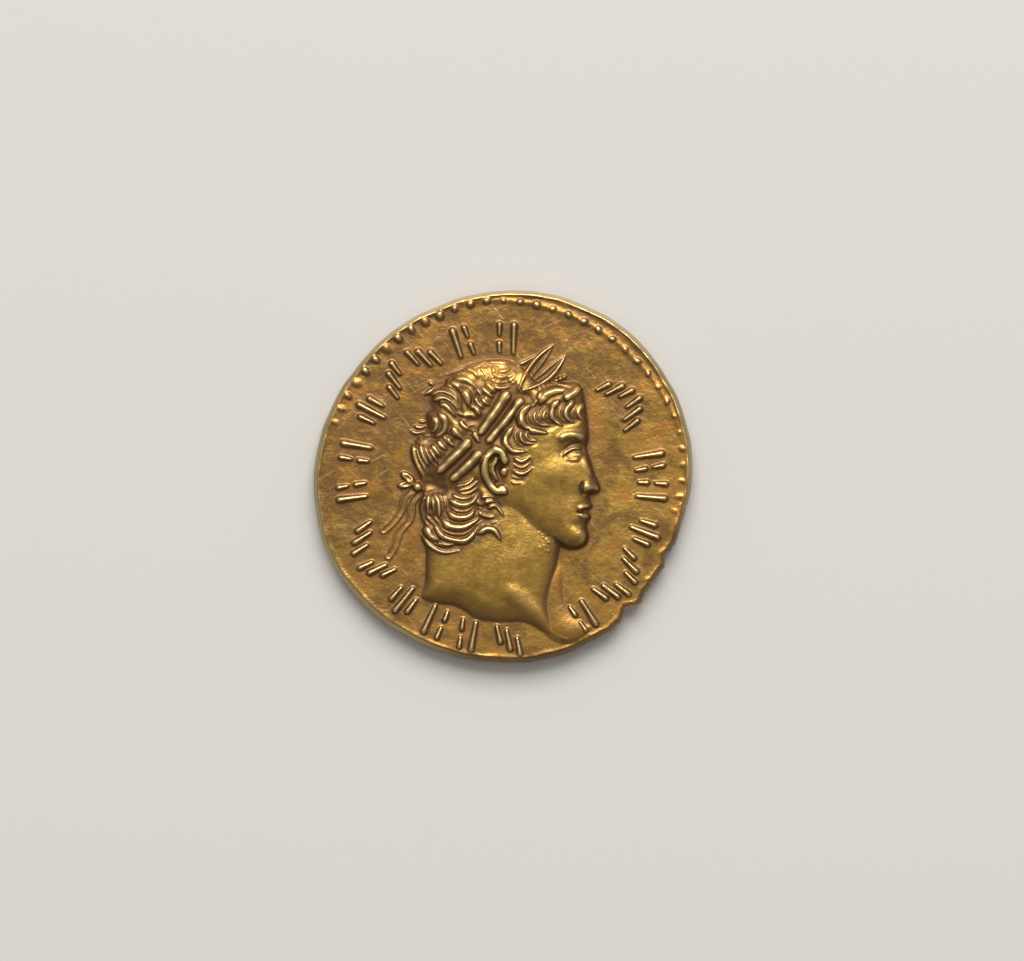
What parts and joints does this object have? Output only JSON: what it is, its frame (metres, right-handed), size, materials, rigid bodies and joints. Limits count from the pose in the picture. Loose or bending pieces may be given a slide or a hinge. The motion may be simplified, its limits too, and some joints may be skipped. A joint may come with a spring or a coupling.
{
  "type": "ancient gold coin",
  "caption": "struck gold coin with a laurel-wreathed bust in profile inside a beaded border, lying on its plain wreath reverse",
  "frame": {"origin": "middle of the bounding box's underside, on the surface the coin lies on", "axes": "+Z out of the obverse, +Y to the top of the bust, +X the way the bust faces"},
  "size_m": [0.019, 0.0186, 0.0025],
  "materials": {
    "gold": "worn struck gold with brown patina"
  },
  "bodies": {
    "root": {"coin": "gold"}
  },
  "joints": []
}
